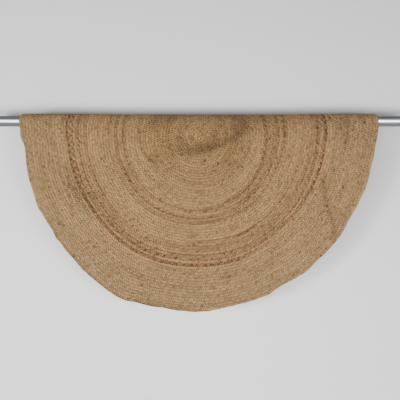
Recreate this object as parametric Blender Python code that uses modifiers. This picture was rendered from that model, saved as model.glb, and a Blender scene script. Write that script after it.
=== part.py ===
"""Round braided jute rug, folded over a level steel rod.

The rug is one long flat braid, coiled from its centre and sewn edge to edge. Its front part hangs lower than
its back part, because the fold lies above the coil's centre. Units are metres, +Z is up, the rod runs along +X
from the origin, which is the centre of the rod's left end, and the rug's face looks along -Y.
"""

import math

import bmesh
import bpy

# Rod
ROD_DIAMETER = 0.045
ROD_LENGTH = 1.800
ROD_SIDES = 48
ROD_END_CHAMFER = 0.001

# Braid and coil
BRAID_WIDTH = 0.012
BRAID_THICKNESS = 0.0062
ROW_DEPTH = 0.0018            # how far the seam between two rows lies below the crests
TURNS = 62.5                  # from the centre to the outer edge of the braid's tail
STEPS_PER_TURN = 32
TAIL_ANGLE = -85.0            # degrees, where the braid ends, as seen on the rug's face

# Hang
ROD_CLEARANCE = 0.0005
FOLD_ABOVE_CENTRE = 0.104     # from the coil's centre up to the top of the fold, along the cloth
BEND_FACETS = 6               # flat strips in the half turn over the rod
RUG_CENTRE_X = ROD_LENGTH / 2
UNDERSIDE_RINGS = (0.80, 0.55, 0.32, 0.14)

# How far the rim stands outside an even coil: angle on the rug's face in degrees, distance in metres.
# 0 is to the right and -90 straight down. The rows between 10 and 170 degrees are on the hidden back part.
RIM = (
    (-190, -0.004), (-185, 0.016), (-181, 0.008), (-176, -0.007), (-156, -0.007), (-146, -0.010),
    (-136, -0.004), (-128, 0.005), (-116, 0.016), (-109, 0.007), (-100, -0.002), (-86, 0.003),
    (-70, 0.002), (-60, -0.005), (-51, 0.003), (-45, -0.002), (-36, 0.003), (-30, -0.002), (-21, 0.004),
    (-11, 0.010), (-6, 0.017), (4, 0.032), (9, 0.022), (20, 0.004), (60, -0.004), (110, 0.005),
    (150, -0.003), (170, -0.004),
)
RIM_POWER = 3                 # the coil is even near its centre and takes up the rim's shape outwards

# Slow waves of the hanging parts: waves in one round, height in metres, phase in degrees.
WAVES = (
    (3, 0.0035, 40.0),
    (5, 0.0020, 150.0),
)
WAVE_START = 0.160            # distance below the rod over which the waves come in

STEPS = round(TURNS * STEPS_PER_TURN)
RUG_RADIUS = TURNS * BRAID_WIDTH
FACET_ANGLE = math.pi / BEND_FACETS
# The flat strips of the bend touch a circle of this radius at their middles, so their edges lie further out.
BEND_INNER = (ROD_DIAMETER / 2 + ROD_CLEARANCE) / math.cos(FACET_ANGLE / 2)
BEND_RADIUS = BEND_INNER + BRAID_THICKNESS / 2
QUARTER_BEND = BEND_RADIUS * math.pi / 2


def clear_scene():
    """Remove every object of the scene."""
    for old in list(bpy.data.objects):
        bpy.data.objects.remove(old, do_unlink=True)


def finish(name, colour, roughness, metallic):
    """A plain material with one colour."""
    material = bpy.data.materials.new(name)
    material.use_nodes = True
    shader = material.node_tree.nodes["Principled BSDF"]
    shader.inputs["Base Color"].default_value = (*colour, 1.0)
    shader.inputs["Roughness"].default_value = roughness
    shader.inputs["Metallic"].default_value = metallic
    return material


def add_object(name, mesh, material, collection):
    """An object for the mesh, with its material, in the collection."""
    mesh.materials.append(material)
    part = bpy.data.objects.new(name, mesh)
    collection.objects.link(part)
    return part


def smooth(share):
    """0 to 1 with level ends."""
    share = min(max(share, 0.0), 1.0)
    return share * share * (3 - 2 * share)


def rim_offset(angle):
    """Distance by which the rim stands out at an angle in radians, eased between the rows of RIM."""
    degrees = (math.degrees(angle) - RIM[0][0]) % 360 + RIM[0][0]
    rows = RIM + ((RIM[0][0] + 360, RIM[0][1]),)
    for (start, first), (end, second) in zip(rows, rows[1:]):
        if degrees <= end:
            return first + (second - first) * smooth((degrees - start) / (end - start))
    return RIM[0][1]


def edge_radius(turn):
    """Radius of the braid's outer edge after a number of turns; the first turn widens quickly from a point."""
    turn = max(turn, 0.0)
    return BRAID_WIDTH * (turn if turn > 1 else math.sqrt(turn))


def coil_point(step, across):
    """Flat position of a point of the coil: across runs from 0 at the inner edge to 2 at the outer edge."""
    turn = step / STEPS_PER_TURN
    angle = math.radians(TAIL_ANGLE) - math.tau * (TURNS - turn)
    inner = edge_radius(turn - 1)
    radius = inner + (edge_radius(turn) - inner) * across / 2
    radius += rim_offset(angle) * (radius / RUG_RADIUS) ** RIM_POWER
    crest = BRAID_THICKNESS / 2
    height = crest if across == 1 and step > 0 else crest - ROW_DEPTH
    return radius * math.cos(angle), radius * math.sin(angle), height


def wave(across_rod, up):
    """Distance by which the hanging cloth stands out from its plane at a flat position."""
    below = abs(FOLD_ABOVE_CENTRE - up) - QUARTER_BEND
    angle = math.atan2(up, across_rod)
    rise = sum(height * math.sin(count * angle + math.radians(phase)) for count, height, phase in WAVES)
    return rise * smooth(below / WAVE_START) * (math.hypot(across_rod, up) / RUG_RADIUS)


def hang(point):
    """Carry a flat point over the rod: arc length becomes an angle on the bend, and height a larger radius."""
    across_rod, up, height = point
    down = FOLD_ABOVE_CENTRE - up
    reach = BEND_RADIUS + height
    if abs(down) < QUARTER_BEND:
        angle = down / BEND_RADIUS
        return RUG_CENTRE_X + across_rod, -reach * math.sin(angle), reach * math.cos(angle)
    side = -1 if down > 0 else 1
    return RUG_CENTRE_X + across_rod, side * reach - wave(across_rod, up), QUARTER_BEND - abs(down)


def coil_face(bm):
    """The rug's face: a long ribbon two cells wide, wound into the coil and welded where its turns meet."""
    bmesh.ops.create_grid(bm, x_segments=STEPS, y_segments=2, size=1.0)
    for vert in bm.verts:
        step = round((vert.co.x + 1) * STEPS / 2)
        vert.co = coil_point(step, round(vert.co.y + 1))
    bmesh.ops.remove_doubles(bm, verts=bm.verts, dist=0.00001)
    bmesh.ops.recalc_face_normals(bm, faces=bm.faces)
    if sum(face.normal.z for face in bm.faces) < 0:
        bmesh.ops.reverse_faces(bm, faces=bm.faces)


def round_rim(bm):
    """Halve the edges of the rim and move the new points out onto the coil's own curve."""
    outer = [edge for edge in bm.edges if edge.is_boundary and edge.calc_length() > 2 * BRAID_WIDTH]
    halved = bmesh.ops.subdivide_edges(bm, edges=outer, cuts=1)["geom_inner"]
    for vert in [item for item in halved if isinstance(item, bmesh.types.BMVert)]:
        angle = math.atan2(vert.co.y, vert.co.x)
        turn = TURNS - (math.radians(TAIL_ANGLE) - angle) % math.tau / math.tau
        radius = edge_radius(turn) + rim_offset(angle)
        vert.co.x = radius * math.cos(angle)
        vert.co.y = radius * math.sin(angle)


def extruded_edge(bm, edges):
    """Extrude a loop of edges and return the new edges and their points."""
    new = bmesh.ops.extrude_edge_only(bm, edges=edges)["geom"]
    return ([item for item in new if isinstance(item, bmesh.types.BMEdge)],
            [item for item in new if isinstance(item, bmesh.types.BMVert)])


def close_underside(bm):
    """Close the face into a solid: the rim goes straight down, then runs to the centre in rings."""
    edges, points = extruded_edge(bm, [edge for edge in bm.edges if edge.is_boundary])
    for vert in points:
        vert.co.z = -BRAID_THICKNESS / 2
    size = 1.0
    for ring in UNDERSIDE_RINGS:
        edges, points = extruded_edge(bm, edges)
        for vert in points:
            vert.co.x *= ring / size
            vert.co.y *= ring / size
        size = ring
    edges, points = extruded_edge(bm, edges)
    bmesh.ops.pointmerge(bm, verts=points, merge_co=(0, 0, -BRAID_THICKNESS / 2))


def crease(bm):
    """Cut the flat rug along the lines where the bend's flat strips meet."""
    for line in range(BEND_FACETS + 1):
        angle = line * FACET_ANGLE - math.pi / 2
        everything = bm.verts[:] + bm.edges[:] + bm.faces[:]
        place = (0, FOLD_ABOVE_CENTRE - angle * BEND_RADIUS, 0)
        bmesh.ops.bisect_plane(bm, geom=everything, dist=0.0004, plane_co=place, plane_no=(0, 1, 0))


def make_rug(collection):
    """The rug: coiled flat, closed, creased, then hung over the rod."""
    bm = bmesh.new()
    coil_face(bm)
    round_rim(bm)
    close_underside(bm)
    crease(bm)
    bmesh.ops.triangulate(bm, faces=bm.faces)
    for vert in bm.verts:
        vert.co = hang(vert.co)
    bmesh.ops.recalc_face_normals(bm, faces=bm.faces)
    mesh = bpy.data.meshes.new("rug")
    bm.to_mesh(mesh)
    bm.free()
    return add_object("rug", mesh, finish("jute braid", (0.40, 0.27, 0.14), 0.9, 0.0), collection)


def make_rod(collection):
    """The rod: a plain round bar with flat ends and a small chamfer."""
    bm = bmesh.new()
    bmesh.ops.create_cone(bm, cap_ends=True, segments=ROD_SIDES, radius1=ROD_DIAMETER / 2,
                          radius2=ROD_DIAMETER / 2, depth=ROD_LENGTH)
    mesh = bpy.data.meshes.new("rod")
    bm.to_mesh(mesh)
    bm.free()
    rod = add_object("rod", mesh, finish("steel", (0.60, 0.61, 0.62), 0.3, 1.0), collection)
    rod.location = (ROD_LENGTH / 2, 0, 0)
    rod.rotation_euler = (0, math.pi / 2, 0)
    mesh.shade_smooth()
    mesh.set_sharp_from_angle(angle=math.radians(30))
    bevel = rod.modifiers.new("end chamfer", "BEVEL")
    bevel.width = ROD_END_CHAMFER
    bevel.segments = 1
    bevel.limit_method = "ANGLE"
    bevel.angle_limit = math.radians(30)
    return rod


clear_scene()
rug_on_rod = bpy.data.collections.new("rug_on_rod")
bpy.context.scene.collection.children.link(rug_on_rod)
make_rod(rug_on_rod)
make_rug(rug_on_rod)
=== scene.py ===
import bpy
import numpy as np
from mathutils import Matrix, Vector


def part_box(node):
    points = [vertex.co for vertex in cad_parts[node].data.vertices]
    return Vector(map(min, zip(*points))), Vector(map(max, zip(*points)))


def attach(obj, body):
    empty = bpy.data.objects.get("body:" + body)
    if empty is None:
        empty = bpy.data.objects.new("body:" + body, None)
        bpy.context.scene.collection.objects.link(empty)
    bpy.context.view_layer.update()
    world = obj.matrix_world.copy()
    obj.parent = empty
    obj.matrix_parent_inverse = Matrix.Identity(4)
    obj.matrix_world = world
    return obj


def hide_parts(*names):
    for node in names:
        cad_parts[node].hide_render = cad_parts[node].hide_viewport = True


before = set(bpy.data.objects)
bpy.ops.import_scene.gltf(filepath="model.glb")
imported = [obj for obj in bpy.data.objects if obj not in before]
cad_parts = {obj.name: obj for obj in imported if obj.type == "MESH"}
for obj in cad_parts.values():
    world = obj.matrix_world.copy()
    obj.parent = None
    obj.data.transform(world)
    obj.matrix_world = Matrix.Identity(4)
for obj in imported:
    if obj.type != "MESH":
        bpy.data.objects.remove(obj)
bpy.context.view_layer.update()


# The rod: one straight level steel tube, 45 mm across, with closed plain ends. It is drawn smooth and left
# bare, with fine brush lines along its length. Its own solid is shown here, and only gets its finish.

ROD_START, ROD_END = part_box("rod")
ROD_RADIUS = ROD_END.z
STEEL_COLOUR = (0.77, 0.78, 0.79)
BRUSH_LINES = ((0.6, 900.0, 900.0), 3.0)  # scale of their noise, and its detail
SMUDGES = ((3.0, 14.0, 14.0), 4.0)
STEEL_TONE = ((0.2, 0.8), (0.90, 1.06))  # range of the noise, and what it is carried over to
STEEL_ROUGHNESS = ((0.1, 0.45), (0.24, 0.38))
BRUSH_STRENGTH, BRUSH_DEPTH = 0.25, 0.00004


def add_node(tree, kind, sockets=None, **settings):
    """A node of a shader tree. Each of its sockets gets a value, or is joined to another node's output."""
    node = tree.nodes.new(kind)
    for name, value in settings.items():
        setattr(node, name, value)
    for name, value in (sockets or {}).items():
        if isinstance(value, bpy.types.NodeSocket):
            tree.links.new(value, node.inputs[name])
        else:
            node.inputs[name].default_value = value
    return node


def worked_out(tree, operation, *values):
    """The result of a Math node on one to three values."""
    return add_node(tree, "ShaderNodeMath", dict(enumerate(values)), operation=operation).outputs[0]


def carried_over(tree, value, given, wanted, easing="LINEAR"):
    """A value carried over from its given range, low and high, to the wanted one, and held within it."""
    sockets = {"Value": value, "From Min": given[0], "From Max": given[1],
               "To Min": wanted[0], "To Max": wanted[1]}
    return add_node(tree, "ShaderNodeMapRange", sockets, interpolation_type=easing).outputs[0]


def tinted(tree, colour, light):
    """A colour times its lightness."""
    sockets = {0: colour, "Scale": light}
    return add_node(tree, "ShaderNodeVectorMath", sockets, operation="SCALE").outputs[0]


def drawn_noise(tree, place, scale, detail, roughness=0.5):
    """Noise that is drawn out by a scale on each axis."""
    scaled = add_node(tree, "ShaderNodeMapping", {"Vector": place, "Scale": scale}).outputs[0]
    sockets = {"Vector": scaled, "Scale": 1.0, "Detail": detail, "Roughness": roughness}
    return add_node(tree, "ShaderNodeTexNoise", sockets).outputs["Fac"]


def new_material(name, **values):
    """A material with a Principled shader, whose sockets get values by their names."""
    material = bpy.data.materials.new(name)
    material.use_nodes = True
    shader = material.node_tree.nodes["Principled BSDF"]
    for socket, value in values.items():
        shader.inputs[socket.replace("_", " ")].default_value = value
    return material, material.node_tree, shader


def join(tree, node, **outputs):
    """Join outputs of other nodes to a node's sockets by their names."""
    for socket, output in outputs.items():
        tree.links.new(output, node.inputs[socket.replace("_", " ")])


def brushed_steel():
    """Bare steel. Noise drawn out along the rod makes brush lines, which vary its tone and are raised. They
    are multiplied by a slow noise of smudges, which varies its roughness."""
    material, tree, shader = new_material("brushed_steel", Metallic=1.0)
    place = add_node(tree, "ShaderNodeTexCoord").outputs["Object"]
    lines = drawn_noise(tree, place, *BRUSH_LINES)
    smudged = worked_out(tree, "MULTIPLY", lines, drawn_noise(tree, place, *SMUDGES))
    colour = tinted(tree, STEEL_COLOUR, carried_over(tree, lines, *STEEL_TONE))
    rough = carried_over(tree, smudged, *STEEL_ROUGHNESS)
    sockets = {"Strength": BRUSH_STRENGTH, "Distance": BRUSH_DEPTH, "Height": lines}
    bump = add_node(tree, "ShaderNodeBump", sockets).outputs[0]
    join(tree, shader, Base_Color=colour, Roughness=rough, Normal=bump)
    return material


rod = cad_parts["rod"]
rod.data.materials.clear()
rod.data.materials.append(brushed_steel())


# The rug's cloth, seen from its inner side: one flat braid of three jute strands, 12 mm wide and 145 m
# long, that is coiled from its centre and sewn edge to edge, turn by turn. It lies over the rod and hangs
# down on both sides of it, and this piece is the lower half of all its rows.

BRAID_WIDTH = 0.012
BRAID_THICKNESS = 0.0062
TURNS = 62.5
RUG_RADIUS = TURNS * BRAID_WIDTH
RUG_CENTRE_X = (ROD_START.x + ROD_END.x) / 2
FOLD_ABOVE_CENTRE = 0.104  # from the coil's centre up to the top of the fold, along the cloth
ROD_GAP = 0.0005
BEND_RADIUS = ROD_RADIUS + ROD_GAP + BRAID_THICKNESS / 2
QUARTER_BEND = BEND_RADIUS * np.pi / 2
CENTRE_RADIUS = 0.0003  # the first turn comes no nearer to the coil's centre
CENTRE_STEP = 0.04      # and keeps this share of its width

# The braid's cut end at the rim.
TAIL_ANGLE = np.radians(-85.0)  # as seen on the rug's face
TAIL_LENGTH = 0.090             # over which the braid thins out
TAIL_NARROWING = 0.60           # the share of its width that it loses
TAIL_THINNING = 0.60            # its thickness loses this share of that
TIP_LENGTH = 0.008              # over which its tip is rounded
TIP_SHARE = 0.99                # of the rounding, so that a narrow end stays

# How far the rim stands outside an even coil. Columns: angle on the rug's face in degrees, metres.
RIM = np.array([
    (-190, -0.004), (-185, 0.016), (-181, 0.008), (-176, -0.007), (-156, -0.007), (-146, -0.010),
    (-136, -0.004), (-128, 0.005), (-116, 0.016), (-109, 0.007), (-100, -0.002), (-86, 0.003),
    (-70, 0.002), (-60, -0.005), (-51, 0.003), (-45, -0.002), (-36, 0.003), (-30, -0.002), (-21, 0.004),
    (-11, 0.010), (-6, 0.017), (4, 0.032), (9, 0.022), (20, 0.004), (60, -0.004), (110, 0.005),
    (150, -0.003), (170, -0.004),
])
RIM_POWER = 3  # of the distance from the centre, for the rim's shape

# Places where the outermost rows bulge. Columns: angle in degrees, half width in degrees, metres.
LUMPS = ((6, 3, 0.006), (-17, 3, 0.004), (-34, 4, 0.003), (-42, 3, 0.003), (-66, 2, 0.006), (-85, 3, 0.006),
         (-114, 3, 0.004), (-144, 2, 0.004), (-156, 3, 0.004), (-174, 3, -0.004))
LUMP_DEPTH = 0.040  # how far in from the rim a bulge is felt

# Small unevenness of the rim: seeded values all round it, in metres, felt over the last two rows.
RIM_NOISE = 0.0009 * np.random.default_rng(23).normal(size=240)
RIM_NOISE_DEPTH = 0.022

# Slow waves of the hanging parts. Columns: waves in one round, height in metres, phase in degrees.
WAVES = ((3, 0.0035, 40.0), (5, 0.0020, 150.0))
WAVE_START = 0.160  # below the rod, over which they come in

# The fold lies tight on the rod near the middle of the rug and stands up a little towards both ends.
FOLD_LIFT = 0.004
LIFT_START, LIFT_SPAN = 0.30, 0.35  # from the rug's centre line, along the rod
LIFT_REACH = 0.070                  # how far below the rod the lift dies out

# Gentle wandering of the rows in the flat rug. Columns: length of the wave, direction in degrees, metres,
# phase. It comes in over a span from the centre and the rim.
WANDERS = ((0.42, 20, 0.0016, 0.4), (0.31, 95, 0.0013, 2.1), (0.23, 160, 0.0008, 4.0),
           (0.14, 60, 0.0004, 1.2))
CENTRE_SPAN, RIM_SPAN = 0.05, 0.08

# The braid's weave. A lobe is one strand's crossing on one side of the braid.
LOBE = 0.0095
STRANDS = 3
SWING = 0.30 * BRAID_WIDTH          # how far a strand's middle goes to each side
STRAND_LIFT = 0.065 * BRAID_WIDTH   # how far it goes up and down
STRAND_WIDTH = 0.245 * BRAID_WIDTH  # half of it, across the braid
STRAND_HEIGHT = BRAID_THICKNESS / 2 - STRAND_LIFT
STRAND_POWER = 2.6      # 2 is an ellipse, and more is fuller
GROOVE_HEIGHT = 0.0009  # of the deepest places between strands, above the braid's middle
EDGE_HEIGHT = 0.0008    # where the braid's upper and lower half meet at its edges
CREASE_DEPTH = 0.0005   # of the line where two strands touch
CREASE_WIDTH = 0.0006   # difference of their heights over which it fades
CREASE_PULL = 0.10      # in lobes, how far rows are drawn towards the creases
STRAIGHT_LOBES = 2      # at each end of the braid, where the rows turn straight across
BRAID_LENGTH = np.pi * BRAID_WIDTH * (TURNS ** 2 - TURNS)
BRAID_START = -0.24 * np.pi * BRAID_WIDTH
LOBES = int((BRAID_LENGTH - BRAID_START) / LOBE)

# Lobes are pulled together and apart. Columns: how far and length over two pi, both in lobes, and phase.
LOBE_WAVES = ((0.6, 7.5, 0.0), (0.25, 3.07, 1.0))

# No two lobes are alike. Seeded values of each strand's place, width and height, and their strengths.
SPARE_LOBES = 8  # past the braid's end, since the grid's rows slant
LOBE_NOISE = np.random.default_rng(41).normal(size=(3, STRANDS, LOBES + SPARE_LOBES))
PLACE_NOISE, WIDTH_NOISE, HEIGHT_NOISE = 0.00025, 0.08, 0.00020


def smooth(share):
    """0 to 1 with level ends: three times the square less twice the cube."""
    share = np.clip(share, 0, 1)
    return share * share * (3 - 2 * share)


def rim_offset(angle):
    """How far the rim stands out at an angle: the rows of RIM, closed round and joined by eased steps."""
    closed = np.vstack([RIM, RIM[0] + (360, 0)])
    degrees = (np.degrees(angle) - RIM[0, 0]) % 360 + RIM[0, 0]
    row = np.searchsorted(closed[:, 0], degrees, side="right") - 1
    row = np.clip(row, 0, len(RIM) - 1)
    start, first = closed[row, 0], closed[row, 1]
    end, last = closed[row + 1, 0], closed[row + 1, 1]
    return first + (last - first) * smooth((degrees - start) / (end - start))


def length_at(lobe):
    """Length along the braid at a lobe: even lobes, which slow sines pull together and apart."""
    uneven = sum(size * np.sin(lobe / span + phase) for size, span, phase in LOBE_WAVES)
    return BRAID_START + LOBE * (lobe + uneven)


BRAID_END = length_at(LOBES)


def turn_at(length):
    """Turn of the coil at a length along the braid. The spiral widens by one braid width a turn, so that
    the length is pi widths times the turn's square less the turn. The turn is then a half, and the root of
    a quarter and the length over pi widths."""
    return 0.5 + np.sqrt(np.maximum(0.25 + length / (np.pi * BRAID_WIDTH), 0.0001))


def coil(length, across):
    """Flat place of a point of the braid: a spiral, widened towards its rim by the rim's shape, lumps and
    noise, and moved in and out by slow sines across the rug. Gives the distance along the rod, the distance
    up, the angle and the turn."""
    turn = turn_at(length)
    angle = TAIL_ANGLE - 2 * np.pi * (TURNS - turn)
    least = CENTRE_RADIUS + CENTRE_STEP * np.maximum(across + BRAID_WIDTH, 0)
    radius = np.maximum(BRAID_WIDTH * (turn - 0.5) + across, least)
    radius = radius + rim_offset(angle) * (radius / RUG_RADIUS) ** RIM_POWER
    for place, half_width, size in LUMPS:
        off = (np.degrees(angle) - place + 180) % 360 - 180
        near_rim = smooth(1 - (RUG_RADIUS - radius) / LUMP_DEPTH)
        radius = radius + size * near_rim * np.exp(-(off / half_width) ** 2)
    share = (angle / (2 * np.pi)) % 1
    closed_noise = np.append(RIM_NOISE, RIM_NOISE[0])
    bumps = np.interp(share * len(RIM_NOISE), np.arange(len(closed_noise)), closed_noise)
    radius = radius + bumps * smooth(1 - (RUG_RADIUS - radius) / RIM_NOISE_DEPTH)
    x, up = radius * np.cos(angle), radius * np.sin(angle)
    wander = 0
    for wave_length, direction, size, phase in WANDERS:
        heading = np.radians(direction)
        way = x * np.cos(heading) + up * np.sin(heading)
        wander = wander + size * np.sin(2 * np.pi * way / wave_length + phase)
    out = np.hypot(x, up)
    wander = wander * (smooth(out / CENTRE_SPAN) * smooth((RUG_RADIUS - out) / RIM_SPAN))
    return x * (1 + wander / out), up * (1 + wander / out), angle, turn


def hang(x, up, height):
    """Carry flat points over the rod. The cloth is bent round it as half a circle, and hangs straight in
    front and behind. The hanging parts stand out a little in sines of the angle round the coil's centre,
    which grow with the distance from it. Height is measured towards the rug's outer side."""
    down = FOLD_ABOVE_CENTRE - up
    angle = down / BEND_RADIUS
    reach = BEND_RADIUS + height
    below = np.abs(down) - QUARTER_BEND
    rise = 0
    for count, size, phase in WAVES:
        rise = rise + size * np.sin(count * np.arctan2(up, x) + np.radians(phase))
    rise = rise * smooth(below / WAVE_START) * np.hypot(x, up) / RUG_RADIUS
    on_rod = below < 0
    y = np.where(on_rod, -reach * np.sin(angle), np.where(down > 0, -reach, reach) - rise)
    z = np.where(on_rod, reach * np.cos(angle), -below)
    z = z + FOLD_LIFT * smooth((np.abs(x) - LIFT_START) / LIFT_SPAN) * smooth(1 - below / LIFT_REACH)
    return np.stack([RUG_CENTRE_X + x, y, z], axis=-1)


def lobe_noise(row, place):
    """A row of the seeded values for each strand, eased from lobe to lobe."""
    at = np.clip(place, 0, LOBES + SPARE_LOBES - 2)
    low = at.astype(int)
    share = smooth(at - low)
    strand = np.arange(STRANDS)
    values = LOBE_NOISE[row]
    return values[strand, low] * (1 - share) + values[strand, low + 1] * share


def braid_side(lobe, across, side):
    """One side of the braid as a grid: rows along it, columns across it, side 1 for the face and -1 for the
    underside. Each strand weaves across as a sine and up and down as a sine of twice its rate, a third of a
    round after the last one, and has half a full ellipse for its section. The surface is the highest
    strand, and dips where two strands touch. The grid's rows slant with the strands and are drawn towards
    the creases, so that each follows a crest, a flank or a crease, and are straight at the braid's ends."""
    across = across[None, :]
    slant = STRANDS * np.arcsin(np.minimum(np.abs(across) / SWING, 1)) / (2 * np.pi)
    drawn = CREASE_PULL * np.sin(2 * np.pi * lobe[:, None]) * np.sign(across)
    slanted = smooth(np.minimum(lobe, LOBES - lobe) / STRAIGHT_LOBES)[:, None]
    place = lobe[:, None] - side * (slant + drawn) * slanted
    strand_place = place[..., None] + np.zeros(STRANDS)
    weave = 2 * np.pi * (strand_place + np.arange(STRANDS)) / STRANDS
    middle = SWING * np.sin(weave) + PLACE_NOISE * lobe_noise(0, strand_place)
    width = STRAND_WIDTH * (1 + WIDTH_NOISE * lobe_noise(1, strand_place))
    lift = -side * STRAND_LIFT * np.sin(2 * weave) + HEIGHT_NOISE * lobe_noise(2, strand_place)
    off = (across[..., None] - middle) / width
    section = STRAND_HEIGHT * np.maximum(1 - np.abs(off) ** STRAND_POWER, 0) ** (1 / STRAND_POWER)
    ranked = np.sort(np.where(np.abs(off) < 1, lift + section, 0), axis=-1)
    touch = 1 - np.clip((ranked[..., -1] - ranked[..., -2]) / CREASE_WIDTH, 0, 1)
    height = np.maximum(ranked[..., -1] - CREASE_DEPTH * touch, GROOVE_HEIGHT)
    height[:, [0, -1]] = side * EDGE_HEIGHT
    return place, height


def lay_braid(place, across, height):
    """Put a grid of the braid's points into the hanging rug. The braid's last stretch thins out against the
    row before it, and its tip is rounded as a quarter circle. Gives the points, their angles and turns."""
    length = length_at(place)
    taper = 1 - TAIL_NARROWING * smooth((length - (BRAID_END - TAIL_LENGTH)) / TAIL_LENGTH)
    tip = np.clip((length - (BRAID_END - TIP_LENGTH)) / TIP_LENGTH, 0, TIP_SHARE)
    tip = np.sqrt(1 - tip * tip)
    across = (taper - 1) * BRAID_WIDTH / 2 + across * taper * tip
    x, up, angle, turn = coil(length, across)
    return hang(x, up, height * (1 - TAIL_THINNING + TAIL_THINNING * taper) * tip), angle, turn


def new_mesh(name, points, loops, starts, rounded):
    """A mesh from its points, its faces' corners and first corners, and which faces are shaded round."""
    mesh = bpy.data.meshes.new(name)
    mesh.vertices.add(points.size // 3)
    mesh.vertices.foreach_set("co", points.astype(np.float32).ravel())
    mesh.loops.add(loops.size)
    mesh.loops.foreach_set("vertex_index", loops.astype(np.int32))
    mesh.polygons.add(len(starts))
    mesh.polygons.foreach_set("loop_start", starts.astype(np.int32))
    mesh.polygons.foreach_set("use_smooth", rounded)
    mesh.update(calc_edges=True)
    return mesh


def face_corners(rows, columns):
    """Row and column of each face's four corners, in a grid whose last column meets its first one."""
    row, column = np.meshgrid(np.arange(rows - 1), np.arange(columns), indexing="ij")
    return (np.stack([row, row, row + 1, row + 1], axis=-1).reshape(-1, 4),
            np.stack([column, column + 1, column + 1, column], axis=-1).reshape(-1, 4))


def store_map(mesh, name, places):
    """Keep a map on the mesh, from the places of its faces' corners."""
    mesh.uv_layers.new(name=name).uv.foreach_set("vector", places.astype(np.float32))


def store_yarn(mesh, shades):
    """Keep what yarn shows on the mesh's faces: lightness, and shares of dark, red and grey."""
    layer = mesh.attributes.new("yarn", "FLOAT_COLOR", "FACE")
    layer.data.foreach_set("color", shades.astype(np.float32).ravel())


def store_painted_relief_shade(mesh, depth):
    """Keep at the mesh's points how deep they lie between strands, from 0 to 1, which sets the painted shade
    of creases.
    """
    layer = mesh.attributes.new("painted_relief_shade", "FLOAT", "POINT")
    layer.data.foreach_set("value", depth.astype(np.float32).ravel())


# The ribbon's second map, with widths as shares of a strip's.
LEAST_WALL = 0.08  # width of a wall that stands upright, in braid widths
STRIP_MARGIN, STRIP_WIDTH = 0.02, 0.96
STRIP_END = 0.99    # where the wall that closes the ring ends
CAP_PLACE = 0.9995  # of both end caps, in the map's far corner


def ribbon_mesh(name, grid, lobe, ring_across, strips):
    """A closed mesh from a grid of points: each row is a ring round the braid, and both end rings are
    filled. Its first map gives lobes along the braid and braid widths across it. Its second map lays the
    unrolled ribbon in strips, one below the other."""
    rows, ring = grid.shape[:2]
    corner_row, corner_column = face_corners(rows, ring)
    quads = corner_row * ring + corner_column % ring
    caps = np.stack([np.arange(ring)[::-1], (rows - 1) * ring + np.arange(ring)])
    starts = np.append(4 * np.arange(len(quads)), quads.size + ring * np.arange(2))
    widths = np.append(ring_across, ring_across[0]) / BRAID_WIDTH
    strand_map = np.stack([lobe[corner_row], widths[corner_column]], axis=-1)
    in_strip = int(np.ceil((rows - 1) / strips))
    strip = corner_row[:, :1] // in_strip
    outline = np.append(0, np.cumsum(np.maximum(np.abs(np.diff(widths)), LEAST_WALL)))
    outline = STRIP_MARGIN + STRIP_WIDTH * outline / outline[-1]
    outline[-1] = STRIP_END
    strip_map = np.stack([(corner_row - strip * in_strip) / in_strip,
                          (strip + outline[corner_column]) / strips], axis=-1)
    mesh = new_mesh(name, grid, np.append(quads, caps), starts, np.ones(len(starts), bool))
    for map_name, values in (("strands", strand_map), ("OFBake", strip_map)):
        store_map(mesh, map_name, np.append(values, np.full(4 * ring, CAP_PLACE)))
    return mesh


# The shades of the yarn. Broad zones of the coil; columns: turn, lightness, share of grey.
ZONES = np.array([
    (0, 1.02, 0), (2.5, 1, 0), (4.5, 0.915, 0), (6.5, 0.87, 0), (9, 0.925, 0), (13, 0.92, 0),
    (16.5, 0.84, 0.1), (20, 1.03, 0.1), (23.5, 1.08, 0.1), (28, 1.02, 0.1), (32, 1.04, 0.1),
    (34.5, 1.06, 0.1), (38, 1.05, 0.1), (42, 1.035, 0.2), (45, 1.12, 0.3), (48, 1.02, 0.6),
    (52, 0.985, 0.7), (56, 0.98, 0.8), (60, 0.965, 0.8), (63, 0.965, 0.8),
])

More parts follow.
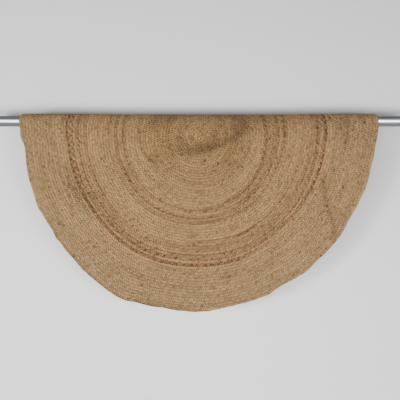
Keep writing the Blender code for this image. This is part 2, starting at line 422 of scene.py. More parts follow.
# Rows where darker yarn was worked in. Columns: half width in turns, share of red, and then the places it
# runs through, each an angle on the rug's face in degrees, a turn and a strength.
DARK_ROWS = (
    (1.6, 0.1, ((-170, 9, 0), (-135, 8.6, 0.3), (-110, 5.2, 0.3), (-80, 4.2, 0.3), (-45, 5.4, 0.5),
                (-25, 7.4, 0.45), (-10, 10.2, 0.3), (0, 13.8, 0.4), (8, 16.8, 0.3), (30, 17, 0))),
    (1, 0.5, ((-80, 2.8, 0), (-60, 2.8, 0.2), (-15, 2.6, 0.25), (0, 2.6, 0))),
    (1.5, 0.1, ((-190, 11.1, 0.2), (-150, 11.2, 0.3), (-120, 11.5, 0), (-80, 12.9, 0), (-60, 12.9, 0.3),
                (0, 12.9, 0.3), (30, 13, 0.2), (90, 12, 0.3), (190, 11.1, 0.2))),
    (0.6, 0.8, ((-30, 18.9, 0), (-15, 18.9, 0.5), (0, 18.9, 0))),
    (0.6, 0.8, ((-190, 20.4, 0.5), (-165, 20.2, 0.5), (-150, 18.3, 0.5), (-138, 17.9, 0), (170, 20.4, 0),
                (190, 20.4, 0.5))),
    (0.7, 0.5, ((-190, 26.4, 0.5), (-150, 26.1, 0.4), (-130, 26.6, 0.3), (-90, 26.6, 0.3), (-60, 25.7, 0.6),
                (-40, 25.3, 0.6), (0, 24.2, 0.6), (60, 24.6, 0.4), (140, 26, 0.5), (190, 26.4, 0.5))),
    (0.5, 0.2, ((-75, 27.9, 0), (-60, 27.9, 0.5), (-10, 27.1, 0.5), (10, 27, 0))),
    (0.6, 0.3, ((-190, 28.9, 0.5), (-165, 28.7, 0.5), (-152, 28.6, 0.8), (-140, 29.2, 0.7),
                (-110, 29.5, 0.7), (-90, 29.4, 0.7), (-60, 28.9, 0.6), (-45, 28.4, 0.6), (0, 28.4, 0.6),
                (90, 28.6, 0.5), (190, 28.9, 0.6))),
    (0.6, 0.2, ((-190, 31.3, 0.3), (-150, 31.1, 0.4), (-120, 31.3, 0.5), (-100, 31.8, 0.5), (-80, 30.7, 0.6),
                (-50, 30.7, 0.6), (-30, 30.3, 0.5), (0, 30.6, 0.6), (90, 30.9, 0.5), (190, 31.3, 0.6))),
    (0.4, 0.2, ((-100, 38.2, 0), (-90, 38.1, 0.7), (-70, 37.8, 0.7), (-60, 37.7, 0.6), (-10, 37.2, 0.4),
                (5, 37, 0))),
    (0.4, 1, ((-72, 38.2, 0), (-66, 38.2, 1), (-60, 38.2, 0.8), (-55, 38.1, 0))),
    (0.5, 0.9, ((-175, 39.5, 0), (-153, 39.5, 0.8), (-145, 39.6, 0.4), (-110, 40.2, 0.3), (-100, 40.2, 0.5),
                (-92, 40.2, 0))),
    (1.6, 0.5, ((-190, 40.6, 0.3), (-130, 40.6, 0.3), (-115, 40.6, 0.1), (-105, 40.6, 0.3), (-20, 40.6, 0.3),
                (0, 40.6, 0.1), (180, 40.6, 0.2), (190, 40.6, 0.3))),
    (0.6, 0.4, ((-190, 42.6, 0.7), (-135, 42.6, 0.7), (-90, 42.9, 0.6), (-45, 42.8, 0.6), (0, 41.9, 0.7),
                (90, 42, 0.5), (190, 42.6, 0.7))),
    (0.6, 0.5, ((-190, 44.9, 0.7), (-170, 44.7, 0.7), (-150, 44.1, 0.7), (-130, 43.9, 0.9),
                (-110, 44.2, 0.8), (-85, 44.4, 0.55), (-60, 44.2, 0.4), (-45, 44, 0.55), (-30, 44.3, 0.9),
                (-20, 44.6, 1), (0, 44.5, 1), (90, 44.3, 0.5), (190, 44.9, 0.7))),
    (0.6, 0.8, ((-190, 46.3, 0.9), (-165, 46, 1), (-150, 45.9, 1), (-140, 45.8, 1), (-120, 45.9, 1),
                (-100, 46.2, 1), (-85, 46.2, 1), (-70, 46, 0.8), (-57, 45.8, 0.4), (-52, 45.8, 0),
                (30, 45.4, 0), (90, 45.8, 0.6), (190, 46.3, 0.9))),
    (1.8, 0.2, ((-175, 48, 0), (-165, 48, 0.4), (-150, 48, 0.4), (-140, 48, 0))),
    (0.4, 0.3, ((-7, 52.1, 0), (1, 52.1, 0.6), (9, 52.1, 0))),
    (0.4, 0.6, ((-174, 50.9, 0), (-168, 50.9, 0.5), (-155, 50.9, 0.5), (-150, 50.9, 0))),
    (0.4, 0.8, ((-82, 51.2, 0), (-77, 51.2, 0.6), (-72, 51.2, 0))),
    (0.4, 0.2, ((-106, 53.9, 0), (-100, 53.9, 0.5), (-94, 53.9, 0))),
    (0.4, 0.3, ((-176, 56.7, 0), (-170, 56.7, 0.5), (-164, 56.7, 0))),
    (0.4, 0.6, ((-152, 62.4, 0), (-145, 62.4, 0.5), (-120, 62.4, 0.7), (-100, 62.4, 0.6), (-90, 62.5, 0.5),
                (-86, 62.5, 0))),
    (0.4, 0.3, ((-67, 52.9, 0), (-62, 52.9, 0.5), (-57, 52.9, 0))),
)

# How much of the darker yarn each strand has, and how much of that is even all along.
DARK_STRANDS = np.array([1.0, 0.70, 0.35])
EVEN_DARK = 0.75

# Places where all the yarn is darker. Some of them are painted shade of soft folds in the cloth: the arc
# round the coil's centre and the streaks that cross the rows. Columns: half width in turns, and then places
# as above, with the share by which it is darker for their strength.
SHADED = (
    (2.8, ((-180, 9, 0.11), (-160, 9, 0.14), (-140, 8, 0.25), (-122, 6, 0.28), (-100, 4.9, 0.3),
           (-80, 4.5, 0.31), (-60, 5, 0.33), (-40, 6, 0.33), (-22, 8.8, 0.26), (-10, 11.2, 0.28),
           (0, 14, 0.36), (12, 16, 0.3), (40, 16, 0))),
    (4, ((-75, 41, 0), (-60, 41, 0.04), (-30, 41, 0.04), (0, 41, 0.06), (40, 41, 0.05))),
    (3.5, ((-220, 5, 0), (-180, 5, 0.1), (-150, 5, 0.15), (-135, 5, 0.15), (-118, 5, 0.06), (-105, 5, 0))),
    (1.2, ((-46, 6, 0), (-30, 6, 0.26), (-8, 6, 0.31), (15, 6, 0.2), (40, 6, 0))),
    (2, ((-200, 27, 0), (-180, 27, 0.08), (-150, 27, 0.08), (-138, 27, 0))),
    (0.6, ((-150, 15.8, 0), (-130, 15.6, 0.16), (-60, 15.7, 0.16), (-30, 16.4, 0))),
    (6, ((-215, 12, 0), (-185, 12, 0.02), (-165, 12, 0.02), (-145, 13, 0.03), (-125, 13, 0))),
    (3, ((-176, 14, 0), (-160, 15.5, 0.1), (-150, 17.5, 0.2), (-142, 17.5, 0))),
    (3, ((-160, 26, 0), (-152, 28.5, 0.2), (-144, 28, 0))),
    (2, ((-66, 28.5, 0), (-56, 27.5, 0.14), (-40, 26.5, 0.14), (-15, 25.5, 0.14), (0, 26, 0.12),
         (30, 26, 0))),
    (2, ((-66, 32, 0), (-62, 31.5, 0.1), (-52, 31, 0.1), (-46, 31, 0))),
    (3, ((-62, 24, 0), (-50, 20, 0.08), (-40, 16, 0.12), (-30, 14, 0))),
    (3.5, ((-168, 44, 0), (-157, 46.5, 0.22), (-150, 45, 0.18), (-142, 44, 0))),
    (1.6, ((-40, 62, 0), (-35, 59.5, 0.24), (-30, 54, 0.22), (-25, 49.5, 0.24), (-20, 47.2, 0.26),
           (-14, 46.8, 0))),
    (0.6, ((-152, 62.4, 0), (-142, 62.4, 0.3), (-125, 62.5, 0.34), (-105, 62.5, 0.3), (-90, 62.4, 0.3),
           (-82, 61.8, 0))),
    (3.5, ((-104, 36, 0), (-96, 36, 0.09), (-86, 36, 0.09), (-78, 36, 0))),
    (3, ((-130, 52, 0), (-118, 52, 0.06), (-100, 52, 0.06), (-90, 55, 0.08), (-78, 55, 0))),
    (1.6, ((-180, 2, 0), (-165, 2, 0.09), (-135, 2, 0.14), (-115, 2, 0))),
)

# The cloth is painted darker just below the fold, on both sides: painted shade where it turns up over
# the rod. Columns: distance from the top of the fold down each side, and the share by which it is darker.
FOLD_PAINTED_SHADE = np.array([(0, 0), (0.016, 0.04), (0.023, 0.17), (0.031, 0.25), (0.041, 0.27), (0.067, 0.18),
                       (0.105, 0.07), (0.15, 0)])

# How strong that painted shade is along the fold. Columns: distance from the rug's centre line, strength.
FOLD_PAINTED_SHADE_ALONG = np.array([(-0.72, 0.55), (-0.54, 0.55), (-0.5, 1), (-0.44, 0.85), (-0.34, 0.75),
                       (-0.27, 1), (-0.15, 1.35), (0, 1.1), (0.12, 1.15), (0.25, 1.5), (0.33, 1.3),
                       (0.4, 1), (0.52, 1.15), (0.6, 0.8), (0.66, 0.6), (0.75, 0.6)])

# Uneven yarn. Each strand has its own shade in every lobe, and dark shades stray further than light ones.
# The shades also drift over a span of lobes, and dark specks stand where the rare noise is high.
YARN_NOISE = np.random.default_rng(12).normal(size=(STRANDS, LOBES + SPARE_LOBES))
RARE_NOISE = np.random.default_rng(57).normal(size=(STRANDS, LOBES + SPARE_LOBES))
YARN_STRENGTH, YARN_SKEW = 0.11, 0.35
DRIFTS = ((11, 0.035), (33, 0.035), (81, 0.03))   # span in lobes, and strength
PATCHES = ((0.045, 0.008, 5), (0.110, 0.012, 6))  # size in metres, strength and seed
PATCH_KNOTS = 64                                  # along each side of the net of patches
SPECK_STRENGTH, SPECK_START, SPECK_SPAN = 0.75, 2.15, 0.6


def drift(noise, span):
    """Noise along each strand, averaged over a span of lobes by a raised cosine, at its old strength."""
    window = np.hanning(span)
    window = window / np.sqrt((window ** 2).sum())
    return np.stack([np.convolve(row, window, "same") for row in noise])


def patches(x, up, size, seed):
    """Seeded values on a square net over the flat rug, eased between its knots."""
    knots = np.random.default_rng(seed).normal(size=(PATCH_KNOTS, PATCH_KNOTS))
    at_x, at_up = x / size + PATCH_KNOTS / 2, up / size + PATCH_KNOTS / 2
    low_x, low_up = np.floor(at_x).astype(int), np.floor(at_up).astype(int)
    share_x, share_up = smooth(at_x - low_x), smooth(at_up - low_up)
    lower = knots[low_x, low_up] * (1 - share_x) + knots[low_x + 1, low_up] * share_x
    upper = knots[low_x, low_up + 1] * (1 - share_x) + knots[low_x + 1, low_up + 1] * share_x
    return lower * (1 - share_up) + upper * share_up


LIGHT_NOISE = YARN_STRENGTH * (YARN_NOISE - YARN_SKEW * YARN_NOISE ** 2 + YARN_SKEW)
for span, strength in DRIFTS:
    LIGHT_NOISE = LIGHT_NOISE + strength * drift(YARN_NOISE[::-1], span)


def strength_of(row, degrees, turn, power):
    """Strength of a row of darker yarn at some places. It runs straight from one of the row's places to the
    next, and falls off beside them as e to minus a power of the distance in half widths."""
    half_width, places = row[0], np.array(row[-1]).T
    strength = np.interp(degrees, places[0], places[2], left=0, right=0)
    return strength * np.exp(-((turn - np.interp(degrees, places[0], places[1])) / half_width) ** power)


def yarn_shades(lobe, across, side, turn, angle):
    """What yarn shows at each place: its lightness and its shares of dark, red and grey. Lobes of one
    strand follow each other, and those of the braid's left half stand half a lobe ahead of its right
    half's. The lightness is the zone's, less the shaded rows, some of them painted shade of soft folds,
    and less the painted shade below the fold, times e to the uneven noise. The dark share is that of the
    strongest dark row, or of a speck."""
    half_ahead = (across < 0) == (side > 0)
    number = np.floor(lobe + 0.5 * half_ahead).astype(int)
    strand = np.where(half_ahead, -number, 1 - number) % STRANDS
    number = np.clip(number, 0, LOBES + SPARE_LOBES - 2)
    degrees = (np.degrees(angle) + 180) % 360 - 180
    turn = turn + across / BRAID_WIDTH - 0.5
    light = np.interp(turn, ZONES[:, 0], ZONES[:, 1])
    grey = np.interp(turn, ZONES[:, 0], ZONES[:, 2])
    dark, red = np.zeros_like(turn), np.zeros_like(turn)
    for row in DARK_ROWS:
        strength = strength_of(row, degrees, turn, 4)
        dark = np.maximum(dark, strength)
        red = np.maximum(red, strength * row[1])
    for row in SHADED:
        light = light * (1 - strength_of(row, degrees, turn, 2))
    radius = BRAID_WIDTH * (turn - 0.5)
    x, up = radius * np.cos(angle), radius * np.sin(angle)
    # Painted shade below the fold, stronger in some places along it than in others.
    painted_fold_shade = np.interp(np.abs(FOLD_ABOVE_CENTRE - up), FOLD_PAINTED_SHADE[:, 0], FOLD_PAINTED_SHADE[:, 1])
    light = light * (1 - painted_fold_shade * np.interp(x, FOLD_PAINTED_SHADE_ALONG[:, 0], FOLD_PAINTED_SHADE_ALONG[:, 1]))
    uneven = LIGHT_NOISE[strand, number]
    for size, strength, seed in PATCHES:
        uneven = uneven + strength * patches(x, up, size, seed)
    light = light * np.exp(uneven)
    share = EVEN_DARK + (1 - EVEN_DARK) * YARN_NOISE[(strand + 1) % STRANDS, number]
    share = DARK_STRANDS[strand] * share
    speck = SPECK_STRENGTH * smooth((RARE_NOISE[strand, number] - SPECK_START) / SPECK_SPAN)
    dark = np.maximum(dark * share, speck)
    return light, np.clip(dark, 0, 1), np.clip(red * share, 0, 1), np.clip(grey, 0, 1)


CAP_SHADES = (1.0, 0.0, 0.0, 0.5)  # of the two faces that close a ribbon's ends


def ribbon_shades(lobe, ring_across, side, turn, angle):
    """What yarn shows on a ribbon's faces, each taken at its middle."""
    def middle(values):
        round_ring = np.concatenate([values, values[:, :1]], axis=1)
        return (round_ring[:-1, :-1] + round_ring[1:, 1:]) / 2

    across = np.append(ring_across, ring_across[0])
    across = np.broadcast_to((across[:-1] + across[1:]) / 2, (len(turn) - 1, turn.shape[1]))
    lobes = np.broadcast_to(((lobe[:-1] + lobe[1:]) / 2)[:, None], across.shape)
    shades = yarn_shades(lobes, across, side, middle(turn), middle(angle))
    return np.append(np.stack(shades, axis=-1), np.tile(CAP_SHADES, 2))


GOLDEN_YARN = (0.394, 0.2275, 0.0903, 1.0)
GREY_YARN = (0.359, 0.2275, 0.0998, 1.0)
BROWN_YARN = (0.065, 0.028, 0.0125, 1.0)
RED_YARN = (0.120, 0.040, 0.016, 1.0)
FIBRE_LIGHT = ((0.25, 0.75), (0.80, 1.20))  # range of the fibres' noise, and the lightness there
# The painted relief shade: a painted highlight on a strand's crest and painted shade in its deepest crease.
PAINTED_RELIEF_LIGHT = ((0, 1), (1.16, 0.13))       # and of a strand's crest and its deepest crease


def jute_colours():
    """A node group for jute yarn: golden beige, grey-beige, brown and red-brown yarn are mixed by their
    shares, and multiplied by the lightness of the fibres and of the yarn, and by the painted relief shade:
    a painted highlight on the crests and painted shade in the creases."""
    group = bpy.data.node_groups.new("jute_colours", "ShaderNodeTree")
    for name in ("Light", "Dark", "Red", "Grey", "Fibre", "Painted relief shade"):
        group.interface.new_socket(name, in_out="INPUT", socket_type="NodeSocketFloat")
    group.interface.new_socket("Colour", in_out="OUTPUT", socket_type="NodeSocketColor")
    given = add_node(group, "NodeGroupInput").outputs

    def mix(share, first, second):
        sockets = {"Factor": share, 6: first, 7: second}  # the colours are sockets 6 and 7, and output 2
        return add_node(group, "ShaderNodeMix", sockets, data_type="RGBA").outputs[2]

    colour = mix(given["Grey"], GOLDEN_YARN, GREY_YARN)
    colour = mix(given["Dark"], colour, BROWN_YARN)
    colour = mix(given["Red"], colour, RED_YARN)
    fibre = carried_over(group, given["Fibre"], *FIBRE_LIGHT)
    # Painted highlight on crests and painted shade in creases.
    painted_relief_shade = carried_over(group, given["Painted relief shade"], *PAINTED_RELIEF_LIGHT)
    light = worked_out(group, "MULTIPLY", worked_out(group, "MULTIPLY", fibre, painted_relief_shade), given["Light"])
    join(group, add_node(group, "NodeGroupOutput"), Colour=tinted(group, colour, light))
    return group


JUTE_COLOURS = jute_colours()


def yarn_colour(tree, fibre, painted_relief_shade):
    """The colour of jute yarn, from what the mesh keeps of it, from its fibres, and from the painted shade
    of its creases.
    """
    yarn = add_node(tree, "ShaderNodeAttribute", attribute_name="yarn")
    shares = add_node(tree, "ShaderNodeSeparateColor", {0: yarn.outputs["Color"]}).outputs
    sockets = {"Light": shares[0], "Dark": shares[1], "Red": shares[2], "Grey": yarn.outputs["Alpha"],
               "Fibre": fibre, "Painted relief shade": painted_relief_shade}
    return add_node(tree, "ShaderNodeGroup", sockets, node_tree=JUTE_COLOURS).outputs[0]


STRAND_SLOPE = 0.55                         # lobes that a strand runs on for each braid width outwards
FINE_FIBRES = ((26.0, 4.0, 7.0), 3.0, 0.6)  # scale along, across and from half to half; detail; roughness
PLIES = ((6.0, 1.6, 5.0), 1.0)
PLY_SHARE = 0.45
FIBRE_STRENGTH, FIBRE_DEPTH = 0.8, 0.0004
JUTE_ROUGHNESS = ((0.3, 0.7), (0.95, 0.72))


def jute_braid():
    """Jute yarn in the braid. Fine noise drawn out along each strand makes its fibres, coarser noise the
    plies that it is twisted from, and their mix is raised. The grooves between strands are painted darker,
    as painted shade, and the crests lighter, as a painted highlight."""
    material, tree, shader = new_material("jute_braid", Sheen_Weight=0.05, Sheen_Roughness=0.5,
                                          Specular_IOR_Level=0.25)
    strands = add_node(tree, "ShaderNodeUVMap", uv_map="strands").outputs[0]
    split = add_node(tree, "ShaderNodeSeparateXYZ", {0: strands}).outputs
    out = worked_out(tree, "ABSOLUTE", split["Y"])
    along = worked_out(tree, "MULTIPLY_ADD", out, STRAND_SLOPE, split["X"])
    half = worked_out(tree, "SIGN", split["Y"])
    place = add_node(tree, "ShaderNodeCombineXYZ", {"X": along, "Y": out, "Z": half}).outputs[0]
    sockets = {"Factor": PLY_SHARE, "A": drawn_noise(tree, place, *FINE_FIBRES),
               "B": drawn_noise(tree, place, *PLIES)}
    fibre = add_node(tree, "ShaderNodeMix", sockets, data_type="FLOAT").outputs[0]
    painted_relief_shade = add_node(tree, "ShaderNodeAttribute", attribute_name="painted_relief_shade").outputs["Fac"]
    rough = carried_over(tree, fibre, *JUTE_ROUGHNESS)
    sockets = {"Strength": FIBRE_STRENGTH, "Distance": FIBRE_DEPTH, "Height": fibre}
    bump = add_node(tree, "ShaderNodeBump", sockets).outputs[0]
    join(tree, shader, Base_Color=yarn_colour(tree, fibre, painted_relief_shade), Roughness=rough, Normal=bump)
    return material


JUTE_BRAID = jute_braid()


def jute_piece(name, mesh, material):
    """An object of jute with a material, which stands for the rug's solid."""
    mesh.materials.append(material)
    piece = bpy.data.objects.new(name, mesh)
    bpy.context.scene.collection.objects.link(piece)
    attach(piece, "root")
    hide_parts("rug")
    return piece


# Painted shade: points in creases, and the seams between rows, are painted darker in the yarn's colour.
CREST_HEIGHT = 0.0028  # a place lower than this is shaded as a crease
SEAM_PAINTED_SHADE = 0.1       # and so is the seam between two rows, by this share


def braid_piece(name, lobe, columns, side, strips):
    """A stretch of one side of the braid, coiled and hung, as a closed ribbon with the jute finish."""
    ring_across = np.array(columns) * BRAID_WIDTH
    place, height = braid_side(lobe, ring_across, side)
    points, angle, turn = lay_braid(place, ring_across, side * height)
    mesh = ribbon_mesh(name, points, lobe, ring_across, strips)
    store_yarn(mesh, ribbon_shades(lobe, ring_across, side, turn, angle))
    # How deep each point lies in a crease sets its painted shade, and the seams get painted shade too.
    depth = smooth((CREST_HEIGHT - height) / (CREST_HEIGHT - GROOVE_HEIGHT))
    depth[:, [0, -1]] = SEAM_PAINTED_SHADE
    store_painted_relief_shade(mesh, depth)
    return jute_piece(name, mesh, JUTE_BRAID)


UNDERSIDE_COLUMNS = (0.50, 0.24, -0.24, -0.50)
UNDERSIDE_STRIPS = 40
CENTRE_LOBES = 300  # of the tightly curved middle, with one row of the grid a lobe
HIDDEN_TURNS = 44   # up to this turn it lies between the hanging layers, with a row every two lobes
hidden_lobes = int(np.pi * BRAID_WIDTH * (HIDDEN_TURNS ** 2 - HIDDEN_TURNS) / LOBE)
underside_rows = np.concatenate([
    np.arange(0, CENTRE_LOBES),
    np.arange(CENTRE_LOBES, hidden_lobes, 2),
    np.arange(2 * hidden_lobes, 2 * LOBES + 1) / 2,
])
underside = braid_piece("rug_underside", underside_rows, UNDERSIDE_COLUMNS, -1, UNDERSIDE_STRIPS)


# The rug's face: the upper half of the same rows, which shows in front, over the rod and behind. It is made
# in four stretches of equal length, one after the other along the braid, with each strand's lobes raised.

FACE_STRETCHES = 4
FACE_COLUMNS = (-0.56, -0.42, -0.15, 0.15, 0.42, 0.56)
FACE_STRIPS = 44
ROWS_IN_LOBE = 4

faces = []
for stretch in range(FACE_STRETCHES):
    start = round(LOBES * stretch / FACE_STRETCHES)
    end = round(LOBES * (stretch + 1) / FACE_STRETCHES)
    face_rows = np.arange(start * ROWS_IN_LOBE, end * ROWS_IN_LOBE + 1) / ROWS_IN_LOBE
    faces.append(braid_piece(f"rug_face_{stretch + 1}", face_rows, FACE_COLUMNS, 1, FACE_STRIPS))


# The coil's middle: the braid's cut start, turned under and pressed flat into a button of jute. It fills
# the small gap that the first turn leaves round the centre.

MIDDLE_RADIUS = 0.009
MIDDLE_HEIGHT, MIDDLE_DROP = 0.0030, 0.0004
MIDDLE_RINGS, MIDDLE_SPOKES = 11, 28
MIDDLE_ENDS = (0.03, 0.97)              # of the way from pole to pole
RINGS_IN_LOBE, SPOKES_IN_WIDTH = 4, 12  # in its map
MIDDLE_SHADES = (0.85, 0.0, 0.0, 0.0)
# The button's share of the painted shade of creases.
MIDDLE_PAINTED_SHADE = 0.4


def button_points():
    """Points of a flat round button: half an ellipse from pole to pole, turned round its axis."""
    tilt = np.linspace(*MIDDLE_ENDS, MIDDLE_RINGS)[:, None] * np.pi
    spoke = -2 * np.pi * np.arange(MIDDLE_SPOKES) / MIDDLE_SPOKES
    out = MIDDLE_RADIUS * np.sin(tilt)
    height = MIDDLE_HEIGHT * np.cos(tilt) - MIDDLE_DROP + 0 * spoke
    return hang(out * np.cos(spoke), out * np.sin(spoke), height)


middle_mesh = ribbon_mesh("rug_middle", button_points(), np.arange(MIDDLE_RINGS) / RINGS_IN_LOBE,
                          BRAID_WIDTH * np.arange(MIDDLE_SPOKES) / SPOKES_IN_WIDTH, 1)
store_yarn(middle_mesh, np.tile(MIDDLE_SHADES, len(middle_mesh.polygons)))
store_painted_relief_shade(middle_mesh, np.full(len(middle_mesh.vertices), MIDDLE_PAINTED_SHADE))
rug_middle = jute_piece("rug_middle", middle_mesh, JUTE_BRAID)


# Loose fibres: short ends of jute that stand out of the yarn, most of them along the rug's rim and at the
# braid's cut end. Each is a thin three-sided hair that leaves the yarn and bends over.

FIBRE_CELLS = 46  # cells a side in the map of their finish, one for each fibre
FIBRES = FIBRE_CELLS ** 2
RIM_FIBRES = 800
END_FIBRES = 50
FIBRE_STEPS = 6
FIBRE_RADIUS = 0.00011
FIBRE_NARROWING = 0.67           # from its root to its tip
FIBRE_SIDE = (0.36, 0.48, 0.80)  # a direction that few fibres follow
CELL_MARGIN = 0.1
END_PLACES = np.array([[(0.02, 0.1), (0.02, 0.9), (0.08, 0.5)], [(0.92, 0.1), (0.92, 0.9), (0.98, 0.5)]])
FIBRE_LIGHTNESS, FIBRE_GREY = (0.8, 1.3), (0.2, 1)
DARK_FIBRES, FIBRE_DARKNESS = 0.1, 0.7  # the share of dark fibres, and how dark they are

# Where each fibre starts and how it runs. Rows: metres back from the braid's end, braid widths across,
# heading in half rounds, length, height of its root, rise of its tip, and how far it turns, in radians.
# Columns: the least and the most of them at the rim, at the braid's end and elsewhere.
FIBRE_RANGES = (
    ((0.05, 2 * np.pi * RUG_RADIUS), (0.0005, 0.006), (0.1, BRAID_END - 0.5)),
    ((0.30, 0.46), (-0.42, -0.20), (-0.42, 0.42)),
    ((0.15, 0.85), (-0.2, 0.2), (0, 2)),
    ((0.003, 0.009), (0.006, 0.016), (0.003, 0.010)),
    ((-0.0010, 0.0020), (-0.0008, 0.0008), (0.0018, 0.0024)),
    ((-0.0020, 0.0025), (-0.0025, 0.0025), (0.0008, 0.0030)),
    ((-1, 1), (-0.8, 0.8), (-1.5, 1.5)),
)


def fibre_paths():
    """Middle lines of the fibres, worked out along, across and above the braid. Each starts at a seeded
    place and turns evenly, and rises by twice its share of the way less that share's square."""
    rng = np.random.default_rng(31)
    number = np.arange(FIBRES)[:, None]
    at_rim, at_end = number < RIM_FIBRES, number >= FIBRES - END_FIBRES

    def seeded(ranges):
        picked = [rng.uniform(low, high, size=(FIBRES, 1)) for low, high in ranges]
        return np.where(at_rim, picked[0], np.where(at_end, picked[1], picked[2]))

    back, widths, heading, length, root, rise, bend = [seeded(ranges) for ranges in FIBRE_RANGES]
    step = length / (FIBRE_STEPS - 1)
    share = np.linspace(0, 1, FIBRE_STEPS)
    heading = np.pi * heading + bend * share
    along = BRAID_END - back + step * (np.cumsum(np.cos(heading), axis=1) - np.cos(heading[:, :1]))
    across = BRAID_WIDTH * widths + step * (np.cumsum(np.sin(heading), axis=1) - np.sin(heading[:, :1]))
    x, up = coil(along, across)[:2]
    return hang(x, up, root + rise * (2 * share - share ** 2))


def fibre_shades():
    """What the fibres show, seeded: lightness, a few dark ones, no red, and shares of grey."""
    rng = np.random.default_rng(37)
    light = rng.uniform(*FIBRE_LIGHTNESS, FIBRES)
    dark = FIBRE_DARKNESS * (rng.uniform(size=FIBRES) < DARK_FIBRES)
    return np.stack([light, dark, np.zeros(FIBRES), rng.uniform(*FIBRE_GREY, FIBRES)], axis=-1)


def fibre_mesh(name, paths, shades):
    """Three-sided tubes round the middle lines, narrower towards their tips and closed at both ends. Their
    corners stand a third of a round apart in the plane across each line. Each fibre has its own cell of the
    map, with its walls unrolled and its two ends beside them."""
    way = np.gradient(paths, axis=1)
    way = way / np.linalg.norm(way, axis=-1, keepdims=True)
    side = np.cross(way, FIBRE_SIDE)
    side = side / np.linalg.norm(side, axis=-1, keepdims=True)
    turned = 2 * np.pi * np.arange(3)[:, None] / 3
    spoke = np.cos(turned) * side[:, :, None] + np.sin(turned) * np.cross(way, side)[:, :, None]
    narrowing = 1 - FIBRE_NARROWING * np.linspace(0, 1, FIBRE_STEPS)
    points = paths[:, :, None] + FIBRE_RADIUS * narrowing[:, None, None] * spoke

    first = 3 * FIBRE_STEPS * np.arange(FIBRES)
    ring, corner = face_corners(FIBRE_STEPS, 3)
    walls = first[:, None, None] + 3 * ring + corner % 3
    last = 3 * (FIBRE_STEPS - 1)
    ends = first[:, None, None] + np.array([(2, 1, 0), (last, last + 1, last + 2)])
    loops = np.append(walls, ends)
    starts = np.append(4 * np.arange(walls.size // 4), walls.size + 3 * np.arange(ends.size // 3))

    cell = np.stack([np.arange(FIBRES) % FIBRE_CELLS, np.arange(FIBRES) // FIBRE_CELLS], axis=-1)
    unrolled = np.stack([ring / (FIBRE_STEPS - 1), corner / 3], axis=-1)
    wall_place = CELL_MARGIN + (1 - 2 * CELL_MARGIN) * unrolled
    wall_map = (cell[:, None, None] + wall_place) / FIBRE_CELLS
    end_map = (cell[:, None, None] + END_PLACES) / FIBRE_CELLS

    mesh = new_mesh(name, points, loops, starts, np.arange(len(starts)) < walls.size // 4)
    store_map(mesh, "OFBake", np.append(wall_map, end_map))
    face_shades = np.append(np.repeat(shades, 3 * (FIBRE_STEPS - 1), axis=0), np.repeat(shades, 2, axis=0))
    store_yarn(mesh, face_shades)
    return mesh


def loose_jute():
    """Single jute fibres: the braid's yarn colours, a little glossier, each fibre in one shade."""
    material, tree, shader = new_material("loose_jute", Roughness=0.65, Specular_IOR_Level=0.3)
    join(tree, shader, Base_Color=yarn_colour(tree, 0.5, 0.0))
    return material


loose_mesh = fibre_mesh("loose_fibres", fibre_paths(), fibre_shades())
loose_fibres = jute_piece("loose_fibres", loose_mesh, loose_jute())


# What isn't part of the rug: a pale floor and a pale paper behind it, both clear when seen from behind,
# soft lights in front and behind, even light from all round, and the camera.

FLOOR_HEIGHT = -1.62
PAPER_Y = 0.085
STAGE_LEFT, STAGE_RIGHT, STAGE_DEPTH, STAGE_TOP = -9, 11, 9, 5
FLOOR_COLOUR = (0.95, 0.95, 0.96, 1.0)
PAPER_COLOUR = (0.69, 0.69, 0.70, 1.0)


def pale_paper(name, colour):
    """Matt pale paper that shows from its front alone."""
    material, tree, shader = new_material(name, Base_Color=colour, Roughness=0.95, Specular_IOR_Level=0.1)
    clear = add_node(tree, "ShaderNodeBsdfTransparent")
    behind = add_node(tree, "ShaderNodeNewGeometry").outputs["Backfacing"]
    sockets = {0: behind, 1: shader.outputs[0], 2: clear.outputs[0]}
    shown = add_node(tree, "ShaderNodeMixShader", sockets).outputs[0]
    join(tree, tree.nodes["Material Output"], Surface=shown)
    return material


def pale_sheet(name, start, end, material):
    """A flat sheet as wide as the stage between two edges, each back and up. The rod doesn't mirror it."""
    mesh = bpy.data.meshes.new(name)
    corners = [(STAGE_LEFT, *start), (STAGE_RIGHT, *start), (STAGE_RIGHT, *end), (STAGE_LEFT, *end)]
    mesh.from_pydata(corners, [], [(0, 1, 2, 3)])
    mesh.materials.append(material)
    sheet = bpy.data.objects.new(name, mesh)
    sheet.visible_glossy = False
    bpy.context.scene.collection.objects.link(sheet)
    return sheet


pale_sheet("floor", (-STAGE_DEPTH, FLOOR_HEIGHT), (STAGE_DEPTH, FLOOR_HEIGHT),
           pale_paper("pale_floor", FLOOR_COLOUR))
back_paper = pale_sheet("back_paper", (PAPER_Y, FLOOR_HEIGHT), (PAPER_Y, STAGE_TOP),
                        pale_paper("pale_paper", PAPER_COLOUR))

# The lights. Columns: name, place, where it aims, its width and height in metres, watts, spread in degrees.
RUG_MIDDLE = (RUG_CENTRE_X, 0, -0.85)
LIGHTS = (
    ("left_light", (-3.2, -3.6, -1.3), RUG_MIDDLE, (1.5, 2.0), 112, 88),
    ("right_light", (3.4, -3.0, -1.0), RUG_MIDDLE, (2.0, 1.4), 23, 88),
    ("front_light", (0.9, -3.0, -0.6), RUG_MIDDLE, (3.6, 2.4), 18, 180),
    ("rod_light", (0.9, -3.0, -0.15), (0.9, 0, 0), (4.4, 1.5), 162, 180),
    ("paper_light", (0.6, -2.4, -1.15), RUG_MIDDLE, (4.0, 0.9), 68, 180),
    ("back_light", (0.9, 3.0, -0.6), RUG_MIDDLE, (2.0, 2.0), 90, 180),
)


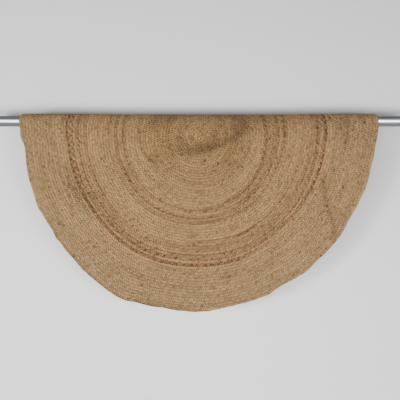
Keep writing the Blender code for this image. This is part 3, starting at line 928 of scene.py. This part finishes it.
def soft_light(name, place, aim, size, power, spread):
    """A rectangular soft light at a place, turned towards a point."""
    lamp = bpy.data.lights.new(name, "AREA")
    lamp.shape = "RECTANGLE"
    lamp.size, lamp.size_y = size
    lamp.energy = power
    lamp.spread = np.radians(spread)
    light = bpy.data.objects.new(name, lamp)
    light.location = place
    light.rotation_euler = (Vector(aim) - Vector(place)).to_track_quat("-Z", "Y").to_euler()
    bpy.context.scene.collection.objects.link(light)
    return light


lights = {row[0]: soft_light(*row) for row in LIGHTS}
for name in ("left_light", "right_light", "front_light", "paper_light"):
    lights[name].visible_glossy = False  # the rod mirrors its own long light alone
lights["rod_light"].visible_diffuse = False

# A low light falls on the paper alone, and gives the soft shade there over the rod and the rug. The light
# from behind passes through the paper, and only the rug and the rod stand in its way.
on_paper = bpy.data.collections.new("lit_by_the_paper_light")
on_paper.objects.link(back_paper)
lights["paper_light"].light_linking.receiver_collection = on_paper
in_its_way = bpy.data.collections.new("in_the_back_lights_way")
for piece in [rod, underside, rug_middle, loose_fibres] + faces:
    in_its_way.objects.link(piece)
lights["back_light"].light_linking.blocker_collection = in_its_way

# The light from all round is dimmer overhead and underfoot. Ranges: height of its direction, share of light.
AIR_COLOUR = (0.80, 0.82, 0.86)
OVERHEAD = ((0.05, 0.65), (1.0, 0.28))
UNDERFOOT = ((-0.16, 0.04), (0.50, 1.0))
AIR_STRENGTH = ((0, 1), (0.43, 0.72))  # on matt things, and as the rod mirrors it


def studio_air():
    """Even light from all round, with both shares multiplied. What the rod mirrors of it is brighter than
    what it throws on matt things, as pale boards round a table are."""
    world = bpy.data.worlds.new("studio")
    world.use_nodes = True
    tree = world.node_tree
    way = add_node(tree, "ShaderNodeTexCoord").outputs["Generated"]
    height = add_node(tree, "ShaderNodeSeparateXYZ", {0: way}).outputs["Z"]
    above = carried_over(tree, height, *OVERHEAD, "SMOOTHSTEP")
    below = carried_over(tree, height, *UNDERFOOT, "SMOOTHSTEP")
    colour = tinted(tree, AIR_COLOUR, worked_out(tree, "MULTIPLY", above, below))
    mirrored = add_node(tree, "ShaderNodeLightPath").outputs["Is Glossy Ray"]
    strength = carried_over(tree, mirrored, *AIR_STRENGTH)
    join(tree, tree.nodes["Background"], Strength=strength, Color=colour)
    return world


bpy.context.scene.world = studio_air()

CAMERA_DISTANCE = 4.0
SENSOR_WIDTH = 36  # in millimetres
FACE_Y = -BEND_RADIUS - BRAID_THICKNESS / 2
FRAME_WIDTH = 1.704                 # of the picture, at the rug's face
PICTURE_CENTRE = (0.9110, -0.3378)  # along the rod, and up

lens = bpy.data.cameras.new("camera")
lens.sensor_width = SENSOR_WIDTH
lens.lens = SENSOR_WIDTH * (CAMERA_DISTANCE + FACE_Y) / FRAME_WIDTH
camera = bpy.data.objects.new("camera", lens)
camera.location = (PICTURE_CENTRE[0], -CAMERA_DISTANCE, PICTURE_CENTRE[1])
camera.rotation_euler = (np.pi / 2, 0, 0)
bpy.context.scene.collection.objects.link(camera)
bpy.context.scene.camera = camera
